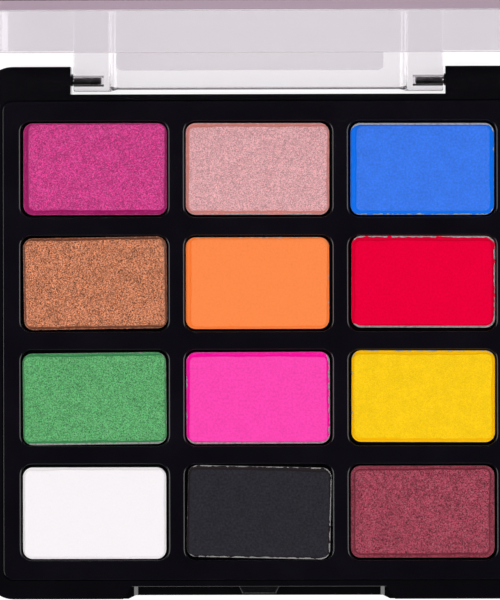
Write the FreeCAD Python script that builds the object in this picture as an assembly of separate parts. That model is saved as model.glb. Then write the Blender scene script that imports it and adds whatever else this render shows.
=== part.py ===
import FreeCAD, Part

import math
import os

# Eyeshadow palette with a clear hinged lid, drawn with the lid standing open.
# Millimetres. Origin: centre of the case's flat underside.
# +X right, +Y towards the hinge, +Z up.

# Driving dimensions of the case
CASE_WIDTH = 98.5
CASE_DEPTH = 96.0
CORNER_RADIUS = 5.0
BASE_HEIGHT = 7.8
FLOOR_THICKNESS = 1.2
UNDER_EDGE_RADIUS = 1.0
TOP_EDGE_RADIUS = 0.3

# Hinge: two short pins on one axis along X
HINGE_BEHIND_AXIS = 2.3
HINGE_Y = CASE_DEPTH / 2 - HINGE_BEHIND_AXIS
HINGE_Z = 2.6
PIN_RADIUS = 0.8
PRESS_INTERFERENCE = 0.01
BORE_CLEARANCE = 0.07
PIN_OUTER_X = 47.9
PIN_INNER_X = 28.35
PIN_CHAMFER = 0.2
BOSS_RADIUS = 1.1
BOSS_HEIGHT = 0.25
OPEN_ANGLE = 88.0

# Notch at the rear of the case that takes the lid's hinge block
NOTCH_HALF_WIDTH = 33.75
NOTCH_DEPTH = 5.0
EAR_TOP_RADIUS = BASE_HEIGHT - HINGE_Z

# Finger recess at the front of the case, and the catch bump inside it
RECESS_HALF_WIDTH = 22.95
RECESS_RAMP = 1.55
RECESS_DEPTH = 2.3
RECESS_HEIGHT = 3.2
RECESS_EDGE_RADIUS = 0.15
END_SLOPE_FOOT = 21.9
END_SLOPE_WIDTH = 0.7
END_SLOPE_RISE = 0.33
LOWER_SETBACK = 0.65
LOWER_HALF_WIDTH = 22.3
LOWER_RAMP = 1.3
BUMP_HALF_WIDTH = 3.6
BUMP_END_TAPER = 0.6
BUMP_REACH = 1.25
BUMP_LOW = 5.75
BUMP_TIP_LOW = 6.0
BUMP_TIP_HIGH = 6.6
BUMP_HIGH = 7.4
BUMP_EDGE_RADIUS = 0.15

# Inner tray
TRAY_WIDTH = 92.1
TRAY_DEPTH = 86.3
TRAY_CENTRE_Y = -1.35
TRAY_CORNER_RADIUS = 1.8
TRAY_GAP = 0.12
TRAY_PLATE = 1.2
TRAY_SKIRT_WALL = 1.0
TRAY_SKIRT_HEIGHT = 3.4
TRAY_EDGE_RADIUS = 0.15

# Windows of the tray, in three columns and four rows
COLUMN_PITCH = 29.55
ROW_PITCH = 20.6
GRID_CENTRE_Y = -1.4
WINDOW_WIDTH = 26.55
WINDOW_DEPTH = 17.3
WINDOW_CORNER_RADIUS = 1.95
WINDOW_EDGE_RADIUS = 0.35
POCKET_WALL = 0.8
POCKET_FLOOR = 0.8
POCKET_INSIDE = 3.9

# Metal pans, the powder pressed into them and the glue under them
PAN_WIDTH = 25.85
PAN_DEPTH = 16.5
PAN_CORNER_RADIUS = 1.75
PAN_WALL = 0.3
PAN_HEIGHT = 3.0
PAN_BELOW_DECK = 0.5
POWDER_CROWN = 0.2
POWDER_EDGE_BAND = 0.6
GLUE_RADIUS = 4.0

# Ribs inside the shell that carry the tray
RIB_THICKNESS = 1.0

# Lid
LID_HEIGHT = 9.15
LID_PLATE = 1.8
LID_WALL = 1.6
LID_REST_GAP = 0.05
LID_TOP_EDGE_RADIUS = 0.3
LID_INNER_EDGE_RADIUS = 0.3
LID_RIM_EDGE_RADIUS = 0.15
LID_RIM_Z = BASE_HEIGHT + LID_REST_GAP

# Hinge block of the lid: a lug at each end and a thinner web between them
BLOCK_HALF_WIDTH = 33.4
BLOCK_RADIUS = 2.1
BLOCK_HEEL_RADIUS = HINGE_BEHIND_AXIS
LUG_WIDTH = 6.6
WEB_THICKNESS = 1.5
WEB_END_RADIUS = 0.3
BLOCK_SIDE_EDGE_RADIUS = 0.3
LUG_FILLET = 1.6
BORE_END_PLAY = 0.45

# Catch tab of the lid
TAB_HALF_WIDTH = 22.7
TAB_DROP = 3.0
TAB_THICKNESS = 1.25
TAB_CORNER_RADIUS = 1.2
TAB_EDGE_RADIUS = 0.2
CATCH_HALF_WIDTH = 4.0
CATCH_HEIGHT = 2.3
CATCH_DEPTH = 0.45

# Blank label in a shallow recess of the underside
LABEL_WIDTH = 56.0
LABEL_DEPTH = 36.0
LABEL_CORNER_RADIUS = 2.0
LABEL_THICKNESS = 0.2
LABEL_RECESS_DEPTH = 0.25
LABEL_EDGE_GAP = 0.4

# One row of the grid per line: the powder's name, then how far its pan sits from the window's
# centre in X and Y, and how far it is turned, in degrees. Pans sit loosely until the glue sets.
POWDERS = [
    [("magenta", 0.16, 0.05, 0.0), ("rose_beige", -0.13, 0.02, -0.1), ("blue", 0.0, -0.05, -0.1)],
    [("bronze", 0.15, 0.07, 0.8), ("orange", -0.17, 0.04, 0.0), ("red", 0.14, 0.22, -0.2)],
    [("green", -0.02, -0.14, 0.6), ("neon_pink", -0.10, -0.05, 0.15), ("yellow", 0.10, 0.20, -0.2)],
    [("white", -0.07, -0.16, 0.0), ("black", 0.03, -0.05, -1.3), ("burgundy", -0.06, 0.01, 0.0)],
]

X_AXIS = FreeCAD.Vector(1, 0, 0)
Z_AXIS = FreeCAD.Vector(0, 0, 1)
HINGE_POINT = FreeCAD.Vector(0, HINGE_Y, HINGE_Z)


def vector(x, y, z):
    return FreeCAD.Vector(x, y, z)


def box(low, high):
    """A box between two corners."""
    size = [b - a for a, b in zip(low, high)]
    return Part.makeBox(*size, vector(*low))


def rounded_block(width, depth, radius, z_low, z_high, centre_y=0.0):
    """A block centred on X = 0, with its four upright edges rounded."""
    low = (-width / 2, centre_y - depth / 2, z_low)
    high = (width / 2, centre_y + depth / 2, z_high)
    block = box(low, high)
    return block.makeFillet(radius, upright_edges(block))


def upright_edges(shape):
    return [e for e in shape.Edges if abs(e.tangentAt(e.FirstParameter).z) > 0.999]


def edges_at_height(shape, z):
    """Every edge that lies in the level plane at z."""
    bounds = [(e, e.BoundBox) for e in shape.Edges]
    return [e for e, b in bounds if abs(b.ZMin - z) < 1e-4 and abs(b.ZMax - z) < 1e-4]


def cylinder_along_x(radius, x_low, x_high):
    """A cylinder on the hinge axis."""
    return Part.makeCylinder(radius, x_high - x_low, vector(x_low, HINGE_Y, HINGE_Z), X_AXIS)


def profile_along_x(points, x_low, x_high):
    """A straight-sided outline in the YZ plane, pushed along X."""
    corners = [vector(x_low, y, z) for y, z in points]
    face = Part.Face(Part.makePolygon(corners + corners[:1]))
    return face.extrude(vector(x_high - x_low, 0, 0))


def profile_along_y(points, y_low, y_high):
    """A straight-sided outline in the XZ plane, pushed along Y."""
    corners = [vector(x, y_low, z) for x, z in points]
    face = Part.Face(Part.makePolygon(corners + corners[:1]))
    return face.extrude(vector(0, y_high - y_low, 0))


def profile_along_z(points, z_low, z_high):
    """A straight-sided outline in the XY plane, pushed along Z."""
    corners = [vector(x, y, z_low) for x, y in points]
    face = Part.Face(Part.makePolygon(corners + corners[:1]))
    return face.extrude(vector(0, 0, z_high - z_low))


def window_centre(row, column):
    x = (column - 1) * COLUMN_PITCH
    y = GRID_CENTRE_Y + (1.5 - row) * ROW_PITCH
    return x, y


def in_window(shape, row, column):
    """Moves a shape made at X = 0, Y = 0 to a window's centre."""
    x, y = window_centre(row, column)
    moved = shape.copy()
    moved.translate(vector(x, y, 0))
    return moved


def in_pan_place(shape, row, column):
    """Moves a shape made at X = 0, Y = 0 to where a pan really sits in its window."""
    _, shift_x, shift_y, turn = POWDERS[row][column]
    moved = shape.copy()
    moved.rotate(vector(0, 0, 0), Z_AXIS, turn)
    moved.translate(vector(shift_x, shift_y, 0))
    return in_window(moved, row, column)


def all_windows():
    return [(row, column) for row in range(4) for column in range(3)]


# Base shell


def flared_slot(half_width, ramp, depth, z_low, z_high):
    """A slot cut into the front face, wider at its mouth by ramp on each side."""
    front = -CASE_DEPTH / 2
    margin = 1.0
    mouth = half_width + ramp + margin * ramp / depth
    outline = [
        (-half_width, front + depth),
        (half_width, front + depth),
        (mouth, front - margin),
        (-mouth, front - margin),
    ]
    return profile_along_z(outline, z_low, z_high)


def front_recess():
    """The space taken away for the lid's tab and for a fingernail under it. Its ledge rises in
    a short slope at each end."""
    ledge_z = BASE_HEIGHT - RECESS_HEIGHT
    upper = flared_slot(
        RECESS_HALF_WIDTH, RECESS_RAMP, RECESS_DEPTH, ledge_z, BASE_HEIGHT + 1
    )
    lower = flared_slot(LOWER_HALF_WIDTH, LOWER_RAMP, LOWER_SETBACK, -1, ledge_z + 1)
    slopes = []
    for side in (-1, 1):
        outline = [
            (side * END_SLOPE_FOOT, ledge_z - 1),
            (side * END_SLOPE_FOOT, ledge_z),
            (side * (END_SLOPE_FOOT + END_SLOPE_WIDTH), ledge_z + END_SLOPE_RISE),
            (side * CASE_WIDTH, ledge_z + END_SLOPE_RISE),
            (side * CASE_WIDTH, ledge_z - 1),
        ]
        slopes.append(profile_along_y(outline, -CASE_DEPTH, 0))
    return upper.cut(slopes).fuse(lower)


def catch_bump():
    """The bump that the lid's tab snaps over, with tapered ends."""
    wall = -CASE_DEPTH / 2 + RECESS_DEPTH
    tip = wall - BUMP_REACH
    section = [
        (wall + 0.3, BUMP_LOW),
        (wall, BUMP_LOW),
        (tip, BUMP_TIP_LOW),
        (tip, BUMP_TIP_HIGH),
        (wall, BUMP_HIGH),
        (wall + 0.3, BUMP_HIGH),
    ]
    ridge = profile_along_x(section, -BUMP_HALF_WIDTH, BUMP_HALF_WIDTH)
    plan = [
        (-BUMP_HALF_WIDTH, wall + 0.3),
        (BUMP_HALF_WIDTH, wall + 0.3),
        (BUMP_HALF_WIDTH, wall),
        (BUMP_HALF_WIDTH - BUMP_END_TAPER, tip),
        (-BUMP_HALF_WIDTH + BUMP_END_TAPER, tip),
        (-BUMP_HALF_WIDTH, wall),
    ]
    bump = ridge.common(profile_along_z(plan, BUMP_LOW - 1, BUMP_HIGH + 1))
    outer_edges = [e for e in bump.Edges if e.CenterOfMass.y < wall - BUMP_EDGE_RADIUS]
    return bump.makeFillet(BUMP_EDGE_RADIUS, outer_edges)


def ear_top_cut():
    """Rounds the ears' rear top edge about the hinge axis, so that the lid's rim passes over."""
    low = (-CASE_WIDTH, HINGE_Y, HINGE_Z)
    high = (CASE_WIDTH, CASE_DEPTH / 2 + 1, BASE_HEIGHT + 1)
    corner = box(low, high)
    return corner.cut(cylinder_along_x(EAR_TOP_RADIUS, -CASE_WIDTH, CASE_WIDTH))


def tray_ribs():
    """Upright ribs on the shell's floor: one under each row and each column of pockets."""
    top = POCKET_INSIDE - POCKET_FLOOR
    half_x = TRAY_WIDTH / 2 - TRAY_SKIRT_WALL
    half_y = TRAY_DEPTH / 2 - TRAY_SKIRT_WALL
    half = RIB_THICKNESS / 2
    root = FLOOR_THICKNESS - 0.2
    ribs = []
    for row in range(4):
        y = window_centre(row, 1)[1]
        ribs.append(box((-half_x, y - half, root), (half_x, y + half, top)))
    for column in range(3):
        x = window_centre(0, column)[0]
        low = (x - half, TRAY_CENTRE_Y - half_y, root)
        high = (x + half, TRAY_CENTRE_Y + half_y, top)
        ribs.append(box(low, high))
    return ribs[0].multiFuse(ribs[1:])


def make_base_shell():
    body = rounded_block(CASE_WIDTH, CASE_DEPTH, CORNER_RADIUS, 0, BASE_HEIGHT)
    body = body.makeFillet(UNDER_EDGE_RADIUS, edges_at_height(body, 0))
    body = body.makeFillet(TOP_EDGE_RADIUS, edges_at_height(body, BASE_HEIGHT))
    well = rounded_block(
        TRAY_WIDTH + 2 * TRAY_GAP,
        TRAY_DEPTH + 2 * TRAY_GAP,
        TRAY_CORNER_RADIUS + TRAY_GAP,
        FLOOR_THICKNESS,
        BASE_HEIGHT + 1,
        TRAY_CENTRE_Y,
    )
    notch_floor = CASE_DEPTH / 2 - NOTCH_DEPTH
    notch = box(
        (-NOTCH_HALF_WIDTH, notch_floor, -1),
        (NOTCH_HALF_WIDTH, CASE_DEPTH / 2 + 1, BASE_HEIGHT + 1),
    )
    label_recess = rounded_block(
        LABEL_WIDTH, LABEL_DEPTH, LABEL_CORNER_RADIUS, -1, LABEL_RECESS_DEPTH
    )
    body = body.cut([well, notch, front_recess(), ear_top_cut(), label_recess])
    recess_back = -CASE_DEPTH / 2 + RECESS_DEPTH
    recess_edge = [
        e
        for e in edges_at_height(body, BASE_HEIGHT)
        if abs(e.CenterOfMass.y - recess_back) < 1e-4
    ]
    body = body.makeFillet(RECESS_EDGE_RADIUS, recess_edge)
    bosses = []
    for side in (-1, 1):
        inner = side * (NOTCH_HALF_WIDTH - BOSS_HEIGHT)
        outer = side * (NOTCH_HALF_WIDTH + 0.5)
        bosses.append(cylinder_along_x(BOSS_RADIUS, min(inner, outer), max(inner, outer)))
    body = body.multiFuse([tray_ribs(), catch_bump()] + bosses)
    pin_hole = cylinder_along_x(PIN_RADIUS - PRESS_INTERFERENCE, -CASE_WIDTH, CASE_WIDTH)
    return body.cut(pin_hole).removeSplitter()


# Inner tray


def make_inner_tray():
    top = BASE_HEIGHT
    skirt_low = top - TRAY_SKIRT_HEIGHT
    outer = rounded_block(
        TRAY_WIDTH, TRAY_DEPTH, TRAY_CORNER_RADIUS, skirt_low, top, TRAY_CENTRE_Y
    )
    outer = outer.makeFillet(TRAY_EDGE_RADIUS, edges_at_height(outer, top))
    hollow = rounded_block(
        TRAY_WIDTH - 2 * TRAY_SKIRT_WALL,
        TRAY_DEPTH - 2 * TRAY_SKIRT_WALL,
        TRAY_CORNER_RADIUS - TRAY_SKIRT_WALL,
        skirt_low - 1,
        top - TRAY_PLATE,
        TRAY_CENTRE_Y,
    )
    pocket_outside = rounded_block(
        WINDOW_WIDTH + 2 * POCKET_WALL,
        WINDOW_DEPTH + 2 * POCKET_WALL,
        WINDOW_CORNER_RADIUS + POCKET_WALL,
        POCKET_INSIDE - POCKET_FLOOR,
        top - TRAY_PLATE / 2,
    )
    pocket_inside = rounded_block(
        WINDOW_WIDTH, WINDOW_DEPTH, WINDOW_CORNER_RADIUS, POCKET_INSIDE, top + 1
    )
    places = all_windows()
    tray = outer.cut(hollow).multiFuse([in_window(pocket_outside, *p) for p in places])
    tray = tray.cut([in_window(pocket_inside, *p) for p in places]).removeSplitter()
    margin = TRAY_SKIRT_WALL
    half_x = TRAY_WIDTH / 2 - margin
    low_y = TRAY_CENTRE_Y - TRAY_DEPTH / 2 + margin
    high_y = TRAY_CENTRE_Y + TRAY_DEPTH / 2 - margin
    window_edges = []
    for edge in edges_at_height(tray, top):
        middle = edge.CenterOfMass
        if abs(middle.x) < half_x and low_y < middle.y < high_y:
            window_edges.append(edge)
    return tray.makeFillet(WINDOW_EDGE_RADIUS, window_edges)


# Pans, powder and glue


def pan_top():
    return BASE_HEIGHT - PAN_BELOW_DECK


def make_pan():
    top = pan_top()
    outside = rounded_block(PAN_WIDTH, PAN_DEPTH, PAN_CORNER_RADIUS, top - PAN_HEIGHT, top)
    inside = rounded_block(
        PAN_WIDTH - 2 * PAN_WALL,
        PAN_DEPTH - 2 * PAN_WALL,
        PAN_CORNER_RADIUS - PAN_WALL,
        top - PAN_HEIGHT + PAN_WALL,
        top + 1,
    )
    return outside.cut(inside)


def make_powder():
    """The pressed cake: it fills its pan, and its face stands a little proud of the pan's rim."""
    top = pan_top() + POWDER_CROWN
    cake = rounded_block(
        PAN_WIDTH - 2 * PAN_WALL,
        PAN_DEPTH - 2 * PAN_WALL,
        PAN_CORNER_RADIUS - PAN_WALL,
        pan_top() - PAN_HEIGHT + PAN_WALL,
        top,
    )
    rim = rounded_block(
        PAN_WIDTH - 2 * PAN_WALL,
        PAN_DEPTH - 2 * PAN_WALL,
        PAN_CORNER_RADIUS - PAN_WALL,
        pan_top(),
        top,
    )
    crown = Part.makeLoft(
        [level_wire(0.0, pan_top()), level_wire(POWDER_EDGE_BAND, top)], True, True
    )
    return cake.cut(rim).fuse(crown).removeSplitter()


def level_wire(inset, z):
    """The outline of the powder at height z, drawn in by inset."""
    half_x = PAN_WIDTH / 2 - PAN_WALL - inset
    half_y = PAN_DEPTH / 2 - PAN_WALL - inset
    radius = PAN_CORNER_RADIUS - PAN_WALL - inset / 2
    plate = box((-half_x, -half_y, z), (half_x, half_y, z + 1))
    plate = plate.makeFillet(radius, upright_edges(plate))
    face = [f for f in plate.Faces if f.BoundBox.ZMax < z + 1e-4][0]
    return face.OuterWire


def make_glue():
    low = POCKET_INSIDE
    high = pan_top() - PAN_HEIGHT
    return Part.makeCylinder(GLUE_RADIUS, high - low, vector(0, 0, low))


# Hinge pins and label


def make_pin(side):
    """A plain steel pin with chamfered ends, pressed into one ear."""
    x_low, x_high = sorted((side * PIN_INNER_X, side * PIN_OUTER_X))
    pin = cylinder_along_x(PIN_RADIUS, x_low, x_high)
    rims = [e for e in pin.Edges if e.BoundBox.XLength < 1e-4]
    return pin.makeChamfer(PIN_CHAMFER, rims)


def make_base_label():
    return rounded_block(
        LABEL_WIDTH - 2 * LABEL_EDGE_GAP,
        LABEL_DEPTH - 2 * LABEL_EDGE_GAP,
        LABEL_CORNER_RADIUS - LABEL_EDGE_GAP,
        LABEL_RECESS_DEPTH - LABEL_THICKNESS,
        LABEL_RECESS_DEPTH,
    )


# Lid, drawn closed and then swung open


def lid_box():
    top = LID_RIM_Z + LID_HEIGHT
    outside = rounded_block(CASE_WIDTH, CASE_DEPTH, CORNER_RADIUS, LID_RIM_Z, top)
    outside = outside.makeFillet(LID_TOP_EDGE_RADIUS, edges_at_height(outside, top))
    inside = rounded_block(
        CASE_WIDTH - 2 * LID_WALL,
        CASE_DEPTH - 2 * LID_WALL,
        CORNER_RADIUS - LID_WALL,
        LID_RIM_Z - 1,
        top - LID_PLATE,
    )
    inside = inside.makeFillet(LID_INNER_EDGE_RADIUS, edges_at_height(inside, top - LID_PLATE))
    shell = outside.cut(inside)
    return shell.makeFillet(LID_RIM_EDGE_RADIUS, edges_at_height(shell, LID_RIM_Z))


def block_section(x_low, x_high):
    """The hinge block seen from the side: round under the pin, with a round heel behind it."""
    front = HINGE_Y - BLOCK_RADIUS
    rear = CASE_DEPTH / 2
    top = LID_RIM_Z + LID_HEIGHT - LID_PLATE / 2
    bottom = HINGE_Z - BLOCK_RADIUS
    heel_z = bottom + BLOCK_HEEL_RADIUS
    diagonal = math.sqrt(0.5)
    a = vector(x_low, front, top)
    b = vector(x_low, front, HINGE_Z)
    c = vector(x_low, HINGE_Y, bottom)
    d = vector(x_low, rear, heel_z)
    e = vector(x_low, rear, top)
    b_c = vector(x_low, HINGE_Y - BLOCK_RADIUS * diagonal, HINGE_Z - BLOCK_RADIUS * diagonal)
    c_d = vector(
        x_low, HINGE_Y + BLOCK_HEEL_RADIUS * diagonal, heel_z - BLOCK_HEEL_RADIUS * diagonal
    )
    edges = [
        Part.makeLine(a, b),
        Part.Arc(b, b_c, c).toShape(),
        Part.Arc(c, c_d, d).toShape(),
        Part.makeLine(d, e),
        Part.makeLine(e, a),
    ]
    return Part.Face(Part.Wire(edges)).extrude(vector(x_high - x_low, 0, 0))


def hinge_block():
    """Two lugs joined by a thin web, rounded where the web runs into the lugs and at its end."""
    solid = block_section(-BLOCK_HALF_WIDTH, BLOCK_HALF_WIDTH)
    side_edges = [
        e for e in solid.Edges if e.BoundBox.XLength < 1e-4 and e.BoundBox.ZMin < LID_RIM_Z
    ]
    solid = solid.makeFillet(BLOCK_SIDE_EDGE_RADIUS, side_edges)
    half_gap = BLOCK_HALF_WIDTH - LUG_WIDTH
    web_front = CASE_DEPTH / 2 - WEB_THICKNESS
    gap = box(
        (-half_gap, HINGE_Y - 2 * BLOCK_RADIUS, -1),
        (half_gap, web_front, LID_RIM_Z + LID_HEIGHT),
    )
    corners = [
        e for e in upright_edges(gap) if abs(e.CenterOfMass.y - web_front) < 1e-4
    ]
    block = solid.cut(gap.makeFillet(LUG_FILLET, corners))
    web_end = [
        e
        for e in block.Edges
        if e.BoundBox.XLength > half_gap
        and abs(e.CenterOfMass.y - web_front) < 1e-4
        and e.CenterOfMass.z < HINGE_Z
    ]
    return block.makeFillet(WEB_END_RADIUS, web_end)


def catch_tab():
    """The tab that drops into the case's front recess, with a pocket for the catch bump."""
    front = -CASE_DEPTH / 2
    low_z = LID_RIM_Z - TAB_DROP
    tab = box(
        (-TAB_HALF_WIDTH, front, low_z), (TAB_HALF_WIDTH, front + TAB_THICKNESS, LID_RIM_Z + 1)
    )
    lower = [
        e
        for e in tab.Edges
        if e.BoundBox.YLength > TAB_THICKNESS / 2 and e.BoundBox.ZMax < low_z + 1e-4
    ]
    tab = tab.makeFillet(TAB_CORNER_RADIUS, lower)
    outline = [
        e for e in tab.Edges if e.BoundBox.YLength < 1e-4 and e.BoundBox.ZMin < LID_RIM_Z
    ]
    tab = tab.makeFillet(TAB_EDGE_RADIUS, outline)
    pocket = box(
        (-CATCH_HALF_WIDTH, front + TAB_THICKNESS - CATCH_DEPTH, LID_RIM_Z - CATCH_HEIGHT),
        (CATCH_HALF_WIDTH, front + TAB_THICKNESS + 1, LID_RIM_Z),
    )
    return tab.cut(pocket)


def make_lid():
    closed = lid_box().multiFuse([hinge_block(), catch_tab()])
    bores = []
    for side in (-1, 1):
        end = side * (PIN_INNER_X - BORE_END_PLAY)
        mouth = side * (BLOCK_HALF_WIDTH + 1)
        low, high = sorted((end, mouth))
        bores.append(cylinder_along_x(PIN_RADIUS + BORE_CLEARANCE, low, high))
    lid = closed.cut(bores).removeSplitter()
    lid.rotate(HINGE_POINT, X_AXIS, -OPEN_ANGLE)
    return lid


def make_all():
    """Every node's name and shape."""
    nodes = {
        "base_shell": make_base_shell(),
        "inner_tray": make_inner_tray(),
        "lid": make_lid(),
        "hinge_pin_left": make_pin(-1),
        "hinge_pin_right": make_pin(1),
        "base_label": make_base_label(),
    }
    pan = make_pan()
    powder = make_powder()
    glue = make_glue()
    for row, column in all_windows():
        place = f"r{row + 1}c{column + 1}"
        colour = POWDERS[row][column][0]
        nodes[f"pan_{place}"] = in_pan_place(pan, row, column)
        nodes[f"powder_{place}_{colour}"] = in_pan_place(powder, row, column)
        nodes[f"glue_{place}"] = in_pan_place(glue, row, column)
    return nodes


os.makedirs("parts", exist_ok=True)
for name, shape in make_all().items():
    print(name, "valid:", shape.isValid(), "solids:", len(shape.Solids), "mm3:", round(shape.Volume, 2))
    shape.exportStep(f"parts/{name}.step")
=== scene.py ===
import math

import bpy
import numpy as np
from mathutils import Euler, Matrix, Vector, noise


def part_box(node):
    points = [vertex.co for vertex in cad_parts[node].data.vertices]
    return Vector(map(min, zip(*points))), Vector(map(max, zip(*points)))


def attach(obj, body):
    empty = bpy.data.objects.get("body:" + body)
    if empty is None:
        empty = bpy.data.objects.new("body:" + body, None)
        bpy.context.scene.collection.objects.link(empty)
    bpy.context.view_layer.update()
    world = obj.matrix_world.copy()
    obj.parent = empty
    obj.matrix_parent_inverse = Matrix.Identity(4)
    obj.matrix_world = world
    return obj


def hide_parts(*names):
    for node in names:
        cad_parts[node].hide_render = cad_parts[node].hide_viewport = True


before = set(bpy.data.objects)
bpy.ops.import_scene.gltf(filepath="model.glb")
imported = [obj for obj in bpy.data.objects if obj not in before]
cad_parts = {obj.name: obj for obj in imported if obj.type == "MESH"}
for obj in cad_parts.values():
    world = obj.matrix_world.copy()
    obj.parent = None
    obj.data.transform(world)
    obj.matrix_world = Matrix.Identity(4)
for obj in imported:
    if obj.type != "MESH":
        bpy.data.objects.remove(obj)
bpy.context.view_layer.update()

MM = 0.001

# Camera: a long lens high above the palette, looking almost straight down. Turns in degrees,
# lens and sensor in millimetres
CAMERA_PLACE = Vector((22.0, 5.84, 1432.0)) * MM
CAMERA_TURN = (0.0, 0.946, -0.13)
CAMERA_LENS = 474.5
CAMERA_SENSOR = 36.0

# Sizes of the powder cakes that the frame doesn't hold, in millimetres
PAN_CORNER = 1.75
FACE_CORNER = 1.05
DUST_ON_RIM = 0.03
CAKE_FOOT = 0.35
CAKE_PLAY = 0.005

# The cake's outer edge, in millimetres: how far inside the pan's edge it ends, how much further
# where the rim is bare or crumbled, the width over which that fades out inwards, the width over
# which the face rolls off, and how deep it has sunk beside a bare rim
COVERED_EDGE = 0.003
BARE_EDGE = 0.034
CRUMBLED_EDGE = 0.004
EDGE_FADE = 0.9
EDGE_ROLL = 0.35
BARE_SINK = 0.12

# Steps of the cake's grid, in millimetres: fine near its border and coarser inside
FINE_STEP = 0.1
COARSE_STEP = 0.25
FINE_BORDER = 1.6

# Scales of the powders' shader patterns, per metre
PEARL_GRAIN = 8000
MATTE_GRAIN = 2400
PIGMENT_CLOUDS = 420
PEARL_GLINTS = 5000
POWDER_LUMPS = 4300

# The table lies a hair under the case, in metres, so that the two faces never coincide
TABLE_GAP = 0.00002

# Lamp powers, in watts
SIDE_POWER = 11.25
FRONT_POWER = 1.7
STRIP_POWER = 0.5


class Powder:
    """One pressed powder: its colours, its finish and the press marks along its edges.

    Tint is the strength of the press mark, whose deeper colour is partly the pressed powder's own
    and partly painted shade, pearl the share of pearl flakes, painted as light glints in the colour,
    grain and cloud the contrast of grains and of pigment clouds, and turn how askew the pan lies,
    in degrees.
    """

    def __init__(self, colour, shaded_band, edges, tint=0.8, pearl=0.0, grain=0.05, cloud=0.02,
                 rim=(0.1, 0.1, 0.1, 0.1), turn=0.0, seed=1):
        self.colour = colour
        self.shaded_band = shaded_band
        self.left, self.right, self.rear, self.front = edges
        self.tint = tint
        self.pearl = pearl
        self.grain = grain
        self.cloud = cloud
        self.rim = rim
        self.turn = turn
        self.seed = seed


# Colours are linear; the second is the press mark's colour, partly the pressed powder's own
# deeper colour and partly painted shade. Edges are the widths of the press mark at the left, right,
# rear and front, mm. Rim is how much of the pan's bare metal shows at the same four sides, 0 to 1.
POWDERS = {
    "magenta": Powder((0.586, 0.045, 0.237), (0.30, 0.0, 0.10), (0.95, 0.4, 0.1, 0.75),
                      tint=1.0, pearl=0.8, grain=0.62, cloud=0.08, rim=(0.0, 0.2, 0.0, 0.25), seed=1),
    "rose_beige": Powder((0.698, 0.366, 0.386), (0.60, 0.19, 0.155), (0.5, 0.3, 0.55, 0.6),
                         pearl=0.8, grain=0.40, cloud=0.06, rim=(0.15, 0.3, 0.2, 0.4),
                         turn=-0.1, seed=2),
    "blue": Powder((0.045, 0.182, 0.794), (0.004, 0.155, 0.80), (0.95, 0.65, 0.35, 0.6),
                   tint=1.0, grain=0.13, cloud=0.06, rim=(0.25, 0.3, 0.6, 0.4), turn=-0.1,
                   seed=3),
    "bronze": Powder((0.52, 0.183, 0.091), (0.13, 0.035, 0.015), (0.3, 0.35, 0.35, 0.4),
                     tint=0.9, pearl=1.0, grain=0.9, cloud=0.13, rim=(0.05, 0.05, 0.05, 0.15),
                     turn=0.8, seed=4),
    "orange": Powder((0.95, 0.243, 0.067), (0.93, 0.19, 0.035), (0.9, 0.3, 0.1, 0.4),
                     grain=0.035, cloud=0.012, rim=(0.0, 0.3, 0.35, 0.25), seed=5),
    "red": Powder((0.79, 0.0, 0.038), (0.62, 0.0, 0.025), (0.5, 0.5, 0.75, 0.5),
                  tint=0.5, grain=0.06, cloud=0.02, rim=(0.2, 0.45, 0.45, 0.7), turn=-0.2, seed=6),
    "green": Powder((0.099, 0.365, 0.131), (0.03, 0.21, 0.07), (0.25, 0.2, 0.5, 0.55),
                    tint=0.6, pearl=0.8, grain=0.62, cloud=0.06, rim=(0.1, 0.35, 0.3, 0.55),
                    turn=0.6, seed=7),
    "neon_pink": Powder((0.944, 0.060, 0.414), (0.93, 0.003, 0.33), (0.45, 0.4, 0.75, 0.3),
                        tint=1.0, grain=0.11, cloud=0.03, rim=(0.35, 0.45, 0.3, 0.6),
                        turn=0.15, seed=8),
    "yellow": Powder((1.0, 0.579, 0.0066), (0.92, 0.46, 0.0), (0.4, 0.5, 0.6, 0.6),
                     pearl=0.15, grain=0.13, cloud=0.045, rim=(0.3, 0.3, 0.35, 0.2), turn=-0.2,
                     seed=9),
    "white": Powder((0.895, 0.855, 0.88), (0.80, 0.76, 0.78), (0.3, 0.3, 0.4, 0.3),
                    tint=0.4, grain=0.012, cloud=0.003, rim=(0.0, 0.1, 0.1, 0.1), seed=10),
    "black": Powder((0.0235, 0.0226, 0.0287), (0.020, 0.015, 0.017), (0.3, 0.3, 0.6, 0.3),
                    grain=0.28, cloud=0.08, rim=(0.25, 0.42, 0.38, 0.45), turn=-1.3, seed=11),
    "burgundy": Powder((0.298, 0.045, 0.076), (0.13, 0.010, 0.022), (0.75, 0.9, 0.6, 0.7),
                       tint=0.4, pearl=0.8, grain=0.9, cloud=0.13, rim=(0.0, 0.1, 0.1, 0.15),
                       seed=12),
}


# Shader helpers


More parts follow.
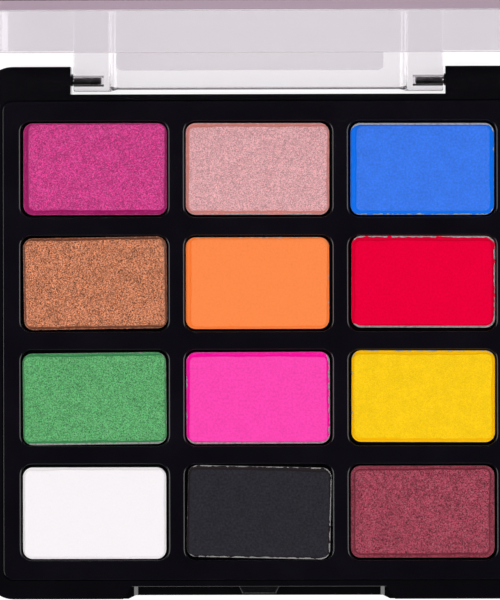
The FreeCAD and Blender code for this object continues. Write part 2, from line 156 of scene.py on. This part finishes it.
class Shader:
    """A material under construction, with short calls for the nodes that this scene needs."""

    def __init__(self, name):
        self.material = bpy.data.materials.new(name)
        self.material.use_nodes = True
        self.tree = self.material.node_tree
        self.nodes = self.tree.nodes
        self.surface = self.nodes["Principled BSDF"]
        self.output = self.nodes["Material Output"]
        self.place = self.nodes.new("ShaderNodeTexCoord").outputs["Object"]

    def link(self, source, target):
        self.tree.links.new(source, target)

    def set(self, **values):
        """Sets the surface's own sockets: base_color becomes "Base Color", and so on."""
        for key, value in values.items():
            self.surface.inputs[key.replace("_", " ").title().replace("Ior", "IOR")].default_value = value

    def noise(self, scale, detail=2.0, roughness=0.5, stretch=None):
        node = self.nodes.new("ShaderNodeTexNoise")
        node.inputs["Scale"].default_value = scale
        node.inputs["Detail"].default_value = detail
        node.inputs["Roughness"].default_value = roughness
        place = self.place
        if stretch:
            mapping = self.nodes.new("ShaderNodeMapping")
            mapping.inputs["Scale"].default_value = stretch
            self.link(place, mapping.inputs["Vector"])
            place = mapping.outputs["Vector"]
        self.link(place, node.inputs["Vector"])
        return node.outputs["Fac"]

    def cells(self, scale):
        """Random grey per grain, 0 to 1."""
        node = self.nodes.new("ShaderNodeTexVoronoi")
        node.inputs["Scale"].default_value = scale
        self.link(self.place, node.inputs["Vector"])
        split = self.nodes.new("ShaderNodeSeparateColor")
        self.link(node.outputs["Color"], split.inputs["Color"])
        return split.outputs[0]

    def attribute(self, name):
        node = self.nodes.new("ShaderNodeAttribute")
        node.attribute_name = name
        return node.outputs["Fac"]

    def remap(self, value, from_low, from_high, to_low, to_high):
        node = self.nodes.new("ShaderNodeMapRange")
        self.link(value, node.inputs["Value"])
        for key, number in zip(
            ("From Min", "From Max", "To Min", "To Max"), (from_low, from_high, to_low, to_high)
        ):
            node.inputs[key].default_value = number
        return node.outputs["Result"]

    def math(self, operation, a, b):
        node = self.nodes.new("ShaderNodeMath")
        node.operation = operation
        for socket, value in zip(node.inputs, (a, b)):
            if isinstance(value, (int, float)):
                socket.default_value = value
            else:
                self.link(value, socket)
        return node.outputs[0]

    def mix(self, factor, a, b, blend="MIX"):
        """Mixes two colours. Each may be a linear triple or a socket."""
        node = self.nodes.new("ShaderNodeMix")
        node.data_type = "RGBA"
        node.blend_type = blend
        if isinstance(factor, (int, float)):
            node.inputs[0].default_value = factor
        else:
            self.link(factor, node.inputs[0])
        for socket, value in zip((node.inputs[6], node.inputs[7]), (a, b)):
            if isinstance(value, tuple):
                socket.default_value = (*value, 1.0)
            else:
                self.link(value, socket)
        return node.outputs[2]

    def brighten(self, colour, factor):
        """Multiplies a colour by a grey factor."""
        node = self.nodes.new("ShaderNodeVectorMath")
        node.operation = "SCALE"
        self.link(colour, node.inputs[0])
        self.link(factor, node.inputs["Scale"])
        return node.outputs[0]

    def bump(self, height, distance, strength=1.0):
        node = self.nodes.new("ShaderNodeBump")
        node.inputs["Strength"].default_value = strength
        node.inputs["Distance"].default_value = distance
        self.link(height, node.inputs["Height"])
        self.link(node.outputs["Normal"], self.surface.inputs["Normal"])


def scaled(colour, factor):
    return tuple(min(1.0, c * factor) for c in colour)


# Materials


def powder_material(name, powder):
    """Pressed powder: fine grains, cloudy pigment, pearl flakes painted as light glints where it has
    them, and a smoother, deeper press mark, partly painted shade."""
    s = Shader(f"powder_{name}")
    grain = s.cells(PEARL_GRAIN) if powder.pearl else s.noise(MATTE_GRAIN, 2.0, 0.6)
    clouds = s.noise(PIGMENT_CLOUDS, 3.0, 0.6)
    low, high = (0.0, 1.0) if powder.pearl else (0.3, 0.7)
    spread = powder.grain
    colour = s.mix(s.remap(grain, low, high, 0, 1), scaled(powder.colour, 1 - spread),
                   scaled(powder.colour, 1 + spread))
    fade = s.remap(clouds, 0.3, 0.7, 1 - powder.cloud, 1 + powder.cloud)
    colour = s.brighten(colour, fade)
    # Pearl flakes are painted glints: scattered grains turned to a lighter copy of the colour.
    if powder.pearl:
        painted_glints = s.remap(s.cells(PEARL_GLINTS), 0.9, 1.0, 0, 0.8 * powder.pearl)
        pearl = tuple(min(1.0, c * 1.25 + 0.1) for c in powder.colour)
        colour = s.mix(painted_glints, colour, pearl)
    mark_and_shade = s.attribute("press_mark_and_shade")
    # Press mark colour: partly the powder's own deeper colour, partly painted shade and a painted foot
    # shadow
    colour = s.mix(mark_and_shade, colour, powder.shaded_band)
    s.link(colour, s.surface.inputs["Base Color"])
    rough = 0.7 - 0.3 * powder.pearl
    s.link(s.remap(grain, low, high, rough - 0.06, rough + 0.1), s.surface.inputs["Roughness"])
    s.set(specular_ior_level=0.01 + 0.25 * powder.pearl)
    lumps = s.math("MULTIPLY", s.cells(POWDER_LUMPS), 0.4 + 0.6 * powder.pearl)
    height = s.math("ADD", grain, lumps)
    s.bump(height, 0.00003 + 0.00003 * powder.pearl, 0.7)
    return s.material


def black_plastic(name, colour, roughness, grain_depth, ior=1.5):
    """Moulded black plastic: a faint flow cloud in its gloss, and a fine moulded grain."""
    s = Shader(name)
    clouds = s.noise(90, 4.0, 0.6)
    fine = s.noise(2600, 2.0, 0.5)
    s.link(s.mix(s.remap(clouds, 0.3, 0.7, 0, 1), scaled(colour, 0.85), scaled(colour, 1.15)),
           s.surface.inputs["Base Color"])
    s.link(s.remap(clouds, 0.3, 0.7, roughness - 0.03, roughness + 0.04),
           s.surface.inputs["Roughness"])
    s.set(ior=ior)
    s.bump(fine, grain_depth, 0.4)
    return s.material


def clear_plastic():
    """Clear polished plastic, faintly lilac through its length. Light on its way from the lamps,
    or scattered by a surface, passes straight through, so that it throws no black shadow."""
    s = Shader("clear_lid")
    ripple = s.noise(60, 2.0, 0.5)
    s.set(base_color=(0.885, 0.863, 0.886, 1.0), transmission_weight=1.0, ior=1.49)
    s.link(s.remap(s.noise(500, 3.0, 0.6), 0.4, 0.8, 0.0, 0.02), s.surface.inputs["Roughness"])
    s.bump(ripple, 0.00002, 0.5)
    absorb = s.nodes.new("ShaderNodeVolumeAbsorption")
    absorb.inputs["Color"].default_value = (0.40, 0.20, 0.34, 1.0)
    absorb.inputs["Density"].default_value = 12.7
    s.link(absorb.outputs[0], s.output.inputs["Volume"])
    clear = s.nodes.new("ShaderNodeBsdfTransparent")
    clear.inputs["Color"].default_value = (0.87, 0.85, 0.87, 1.0)
    path = s.nodes.new("ShaderNodeLightPath")
    choose = s.nodes.new("ShaderNodeMixShader")
    through = s.math("MAXIMUM", path.outputs["Is Shadow Ray"], path.outputs["Is Diffuse Ray"])
    s.link(through, choose.inputs[0])
    s.link(s.surface.outputs[0], choose.inputs[1])
    s.link(clear.outputs[0], choose.inputs[2])
    s.link(choose.outputs[0], s.output.inputs["Surface"])
    return s.material


def steel():
    """Drawn wire, with fine lines along the pin and a little dark oil."""
    s = Shader("pin_steel")
    lines = s.noise(3000, 3.0, 0.6, stretch=(0.02, 1.0, 1.0))
    spots = s.noise(900, 3.0, 0.6)
    s.link(s.mix(s.remap(spots, 0.4, 0.65, 0, 1), (0.30, 0.29, 0.30), (0.66, 0.65, 0.65)),
           s.surface.inputs["Base Color"])
    s.link(s.remap(lines, 0.3, 0.7, 0.10, 0.25), s.surface.inputs["Roughness"])
    s.set(metallic=1.0)
    s.bump(lines, 0.00001, 0.5)
    return s.material


def pan_metal():
    """Thin bright pressed metal with small dents and a trace of dust."""
    s = Shader("pan_metal")
    dents = s.noise(1500, 3.0, 0.6)
    s.link(s.mix(s.remap(dents, 0.45, 0.62, 0, 1), (0.62, 0.60, 0.60), (0.36, 0.34, 0.34)),
           s.surface.inputs["Base Color"])
    s.link(s.remap(dents, 0.3, 0.7, 0.38, 0.52), s.surface.inputs["Roughness"])
    s.set(metallic=1.0)
    s.bump(dents, 0.00003, 0.6)
    return s.material


def glue():
    s = Shader("glue_clear")
    swirl = s.noise(700, 2.0, 0.5)
    s.link(s.mix(swirl, (0.62, 0.56, 0.42), (0.78, 0.73, 0.6)), s.surface.inputs["Base Color"])
    s.link(s.remap(swirl, 0.3, 0.7, 0.25, 0.4), s.surface.inputs["Roughness"])
    s.set(subsurface_weight=0.2)
    s.bump(swirl, 0.00005, 0.6)
    return s.material


def label_paper():
    s = Shader("label_paper")
    fibres = s.noise(1800, 5.0, 0.7, stretch=(0.4, 1.0, 1.0))
    s.link(s.mix(s.remap(fibres, 0.3, 0.7, 0, 1), (0.78, 0.78, 0.76), (0.86, 0.86, 0.84)),
           s.surface.inputs["Base Color"])
    s.link(s.remap(fibres, 0.3, 0.7, 0.55, 0.75), s.surface.inputs["Roughness"])
    s.bump(fibres, 0.00003, 0.5)
    return s.material


def table_material():
    """A plain white table that stays white under the object."""
    s = Shader("table_white")
    s.set(roughness=0.9, specular_ior_level=0.1)
    s.surface.inputs["Base Color"].default_value = (0.30, 0.30, 0.30, 1.0)
    s.surface.inputs["Emission Color"].default_value = (1.0, 1.0, 1.0, 1.0)
    s.surface.inputs["Emission Strength"].default_value = 0.86
    return s.material


def wear(node, material):
    """Gives a CAD node its material."""
    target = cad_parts[node]
    if not target.material_slots:
        target.data.materials.append(material)
    for slot in target.material_slots:
        slot.material = material


# Powder cakes


def grid_lines(half):
    """Positions from -half to half: fine steps near both ends and coarser ones between."""
    border = min(FINE_BORDER, half / 2)
    fine = np.arange(0, border, FINE_STEP)
    middle = half - border
    coarse = np.linspace(-middle, middle, int(2 * middle / COARSE_STEP) + 1)
    return np.concatenate([fine - half, coarse, np.flip(half - fine)])


def round_corners(points, half, radius):
    """Bends the corners of a rectangular grid onto arcs, keeping its rows and columns."""
    core = half - radius
    over = np.maximum(np.abs(points) - core, 0)
    length = np.maximum(np.hypot(over[:, 0], over[:, 1]), 1e-9)
    bent = over * (over.max(axis=1) / length)[:, None]
    inside = np.minimum(np.abs(points), core)
    return np.sign(points) * (inside + bent)


def inset(points, half, radius, centre=(0.0, 0.0)):
    """How far each point lies inside a rounded rectangle, and the inward direction there."""
    local = points - np.array(centre)
    q = np.abs(local) - (half - radius)
    over = np.maximum(q, 0)
    length = np.hypot(over[:, 0], over[:, 1])
    depth = radius - length - np.minimum(q.max(axis=1), 0)
    flat = np.zeros_like(q)
    nearest = q.argmax(axis=1)
    flat[np.arange(len(q)), nearest] = 1.0
    outward = np.where((length > 1e-6)[:, None], over / np.maximum(length, 1e-9)[:, None], flat)
    return depth, -outward * np.sign(local)


def ragged(points, scale, seed, octaves=3):
    """Smooth noise around 0 for each point."""
    shift = Vector((seed * 17.3, seed * 5.1, seed * 2.7))
    values = []
    for x, y in points:
        p = Vector((x, y, 0)) * scale + shift
        values.append(noise.fractal(p, 0.7, 2.0, octaves))
    return np.array(values)


def smooth(values, low, high):
    t = np.clip((values - low) / (high - low), 0, 1)
    return t * t * (3 - 2 * t)


def side_weight(inward, sides):
    """Blends four values, for the left, right, rear and front, by the direction of the edge."""
    left, right, rear, front = sides
    x, y = inward[:, 0], inward[:, 1]
    across = np.where(x > 0, left, right) * x ** 2
    along = np.where(y > 0, front, rear) * y ** 2
    return across + along


def rim_edge(inward, powder, crumble, jitter):
    """How bare the pan's rim is beside each point, and how far in the powder ends there."""
    exposed = side_weight(inward, powder.rim)
    bare = smooth(exposed + 0.16 * crumble + 0.05 * jitter, 0.15, 0.8)
    edge = COVERED_EDGE + BARE_EDGE * bare + CRUMBLED_EDGE * np.clip(jitter + crumble, 0, 1)
    return bare, edge


def face_inset(points, half, powder):
    """How far each point lies inside the raised face, which the press mark leaves all round."""
    centre = ((powder.left - powder.right) / 2, (powder.front - powder.rear) / 2)
    face_half = np.array([
        half[0] - (powder.left + powder.right) / 2,
        half[1] - (powder.rear + powder.front) / 2,
    ])
    return inset(points, face_half, FACE_CORNER, centre)[0]


def cake_heights(depth, edge, bare, raised, jitter, rim_z, top_z):
    """Heights of the cake's face: raised inside, low in the press mark, rolled off at its edge."""
    low_z = rim_z + DUST_ON_RIM * MM
    height = low_z + (top_z - low_z) * (0.25 + 0.75 * raised)
    roll = smooth(depth, edge * 0.9, edge * 0.9 + EDGE_ROLL)
    height = low_z + (height - low_z) * roll
    height -= bare * BARE_SINK * MM * (1 - smooth(depth, 0.3, 0.55))
    return height + 0.006 * MM * jitter * raised


def press_mark_and_shade(points, depth, inside, wobble, raised, powder):
    """How much each point takes the press mark's colour: a crumbly band that is partly the
    powder's own deeper colour and partly painted shade, darkest in a painted shadow line at the
    face's foot."""
    strength = smooth(np.clip(depth - inside, 0, 1), 0.0, 0.5)
    crumbs = ragged(points, 7.0, powder.seed + 20, 2)
    painted_foot_shadow = np.exp(-(((inside + wobble + 0.04) / 0.14) ** 2))
    shaded_band = (1 - raised) * powder.tint * (0.6 + 0.4 * strength) * (0.95 + 0.8 * crumbs)
    # The line at the face's foot is a painted shadow of the step.
    mark_and_shade = np.clip(shaded_band + 0.85 * painted_foot_shadow * strength, 0, 1)
    return mark_and_shade * smooth(depth, 0.0, 0.12)


def powder_surface(half, powder, rim_z, top_z):
    """The cake's face: its points, heights, press mark with its painted shade, grid size and edge."""
    xs, ys = grid_lines(half[0]), grid_lines(half[1])
    flat = np.array([(x, y) for y in ys for x in xs])
    points = round_corners(flat, half, PAN_CORNER)
    depth, inward = inset(points, half, PAN_CORNER)
    drift = ragged(points, 0.16, powder.seed + 80, 2)
    crumble = ragged(points, 0.9, powder.seed)
    jitter = ragged(points, 3.5, powder.seed + 40)
    bare, edge = rim_edge(inward, powder, crumble, jitter)
    shift = edge * np.clip(1 - depth / EDGE_FADE, 0, 1)
    points = points + inward * shift[:, None]
    depth = depth + shift
    wobble = 0.05 * jitter + 0.05 * crumble + 0.16 * drift
    inside = face_inset(points, half, powder)
    raised = smooth(inside + wobble, -0.05, 0.16)
    height = cake_heights(depth, edge, bare, raised, jitter, rim_z, top_z)
    mark_and_shade = press_mark_and_shade(points, depth, inside, wobble, raised, powder)
    return points, height, mark_and_shade, (len(xs), len(ys)), edge


def border_loop(columns, rows):
    """Indices of the grid's outer points, once round."""
    front = list(range(columns))
    right = [columns * r + columns - 1 for r in range(1, rows)]
    rear = [columns * (rows - 1) + c for c in range(columns - 2, -1, -1)]
    left = [columns * r for r in range(rows - 2, 0, -1)]
    return front + right + rear + left


def turned_half(low, high, turn):
    """Half sizes, mm, of the rounded pan that lies turned inside its box."""
    size = np.array([(high - low).x, (high - low).y]) / MM
    cos, sin = abs(math.cos(turn)), abs(math.sin(turn))
    corner_loss = 2 * PAN_CORNER * (cos + sin - 1)
    return np.linalg.solve([[cos, sin], [sin, cos]], size + corner_loss) / 2 - CAKE_PLAY


def turned(points, middle, turn):
    """Turns points about the upright axis and moves them to a middle. Their heights stay."""
    cos, sin = math.cos(turn), math.sin(turn)
    placed = points.copy()
    placed[:, 0] = middle.x + cos * points[:, 0] - sin * points[:, 1]
    placed[:, 1] = middle.y + sin * points[:, 0] + cos * points[:, 1]
    return placed


def cake_points(half, powder, rim_z, top_z, foot_z):
    """Points of a closed cake, its face and three rings below it, with their press mark and painted
    shade.
    """
    points, height, mark_and_shade, (columns, rows), edge = powder_surface(half, powder, rim_z, top_z)
    loop = border_loop(columns, rows)
    ring = points[loop]
    _, ring_inward = inset(ring, half, PAN_CORNER)
    lip_z = np.minimum(rim_z + 0.002 * MM, height[loop] - 0.02 * MM)
    foot = ring + np.maximum(CAKE_FOOT - edge[loop], 0.01)[:, None] * ring_inward
    flat = np.vstack([points, ring, foot, foot]) * MM
    tall = np.concatenate([height, lip_z, lip_z, np.full(len(loop), foot_z)])
    mark_and_shade = np.concatenate([mark_and_shade, np.zeros(3 * len(loop))])
    return np.column_stack([flat, tall]), mark_and_shade, columns, rows


def cake_faces(columns, rows):
    """Faces of a closed cake: the grid of its face, the wall down its three rings, its foot."""
    faces = []
    for r in range(rows - 1):
        for c in range(columns - 1):
            a = r * columns + c
            faces.append((a, a + 1, a + columns + 1, a + columns))
    loop = border_loop(columns, rows)
    count = len(loop)
    rings = [loop] + [[columns * rows + k * count + i for i in range(count)] for k in range(3)]
    for upper, lower in zip(rings, rings[1:]):
        for i in range(count):
            j = (i + 1) % count
            faces.append((upper[i], lower[i], lower[j], upper[j]))
    faces.append(tuple(reversed(rings[-1])))
    return faces


def make_powder(node, powder, material):
    """A closed cake: a pressed face with a crumbled edge, standing in its pan."""
    place = node.split("_")[1]
    pan_low, pan_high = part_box(f"pan_{place}")
    cake_low, cake_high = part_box(node)
    turn = math.radians(powder.turn)
    half = turned_half(pan_low, pan_high, turn)
    local, mark_and_shade, columns, rows = cake_points(half, powder, pan_high.z, cake_high.z, cake_low.z)
    world = turned(local, (pan_low + pan_high) / 2, turn)
    mesh = bpy.data.meshes.new(f"cake_{node}")
    mesh.from_pydata(world.tolist(), [], cake_faces(columns, rows))
    mesh.update()
    mark_and_shade_layer = mesh.attributes.new("press_mark_and_shade", "FLOAT", "POINT")
    mark_and_shade_layer.data.foreach_set("value", mark_and_shade.astype(np.float32))
    mesh.polygons.foreach_set("use_smooth", np.ones(len(mesh.polygons), bool))
    mesh.materials.append(material)
    piece = bpy.data.objects.new(f"cake_{node.removeprefix('powder_')}", mesh)
    bpy.context.scene.collection.objects.link(piece)
    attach(piece, "base")
    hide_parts(node)


# Stage, light and camera


def make_table():
    """A large table just under the case, flat but for a low rise far behind."""
    half, rows = 6.0, 61
    sweep_start, sweep_slope = 2.8, 0.25
    mesh = bpy.data.meshes.new("table")
    steps = np.linspace(-half, half, rows)
    points = [
        (x, y, max(0.0, y - sweep_start) * sweep_slope - TABLE_GAP)
        for y in steps
        for x in steps
    ]
    faces = [
        (r * rows + c, r * rows + c + 1, (r + 1) * rows + c + 1, (r + 1) * rows + c)
        for r in range(rows - 1)
        for c in range(rows - 1)
    ]
    mesh.from_pydata(points, [], faces)
    mesh.materials.append(table_material())
    table = bpy.data.objects.new("table", mesh)
    bpy.context.scene.collection.objects.link(table)


def softbox(name, place, size, power, mirrored=True):
    """A rectangular lamp that faces the palette, places and sizes in metres. The second size
    runs up its slope. Gloss shows it only where mirrored."""
    lamp = bpy.data.lights.new(name, "AREA")
    lamp.shape = "RECTANGLE"
    lamp.size, lamp.size_y = size
    lamp.energy = power
    holder = bpy.data.objects.new(name, lamp)
    holder.location = place
    holder.rotation_euler = (-Vector(place)).to_track_quat("-Z", "Y").to_euler()
    holder.visible_glossy = mirrored
    bpy.context.scene.collection.objects.link(holder)


def make_lights():
    """Two large softboxes at the sides, a weak one in front and a thin strip for edge glints."""
    softbox("softbox_left", (-0.85, -0.05, 0.75), (0.9, 0.9), SIDE_POWER)
    softbox("softbox_right", (0.85, -0.05, 0.75), (0.9, 0.9), SIDE_POWER)
    softbox("softbox_front", (0.0, -1.1, 0.7), (0.9, 0.35), FRONT_POWER, mirrored=False)
    softbox("edge_strip", (0.0, -1.1, 0.3), (0.9, 0.1), STRIP_POWER)
    world = bpy.data.worlds.new("studio")
    world.use_nodes = True
    world.node_tree.nodes["Background"].inputs["Color"].default_value = (1, 1, 1, 1)
    world.node_tree.nodes["Background"].inputs["Strength"].default_value = 0.02
    bpy.context.scene.world = world
    bpy.context.scene.view_settings.view_transform = "Standard"


def make_camera():
    data = bpy.data.cameras.new("camera")
    data.lens = CAMERA_LENS
    data.sensor_width = CAMERA_SENSOR
    data.clip_start, data.clip_end = 0.05, 10
    camera = bpy.data.objects.new("camera", data)
    camera.location = CAMERA_PLACE
    camera.rotation_euler = Euler([math.radians(a) for a in CAMERA_TURN])
    bpy.context.scene.collection.objects.link(camera)
    bpy.context.scene.camera = camera


make_camera()
make_lights()
make_table()

wear("base_shell", black_plastic("shell_black", (0.0024, 0.0020, 0.0032), 0.12, 0.000002))
wear("inner_tray", black_plastic("tray_black", (0.0033, 0.0027, 0.0050), 0.16, 0.000004, 1.43))
wear("lid", clear_plastic())
wear("base_label", label_paper())
pin_material, rim_material, glue_material = steel(), pan_metal(), glue()
for node in sorted(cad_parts):
    kind = node.split("_")[0]
    if kind == "hinge":
        wear(node, pin_material)
    elif kind == "pan":
        wear(node, rim_material)
    elif kind == "glue":
        wear(node, glue_material)
    elif kind == "powder":
        name = node.split("_", 2)[2]
        powder = POWDERS[name]
        make_powder(node, powder, powder_material(name, powder))
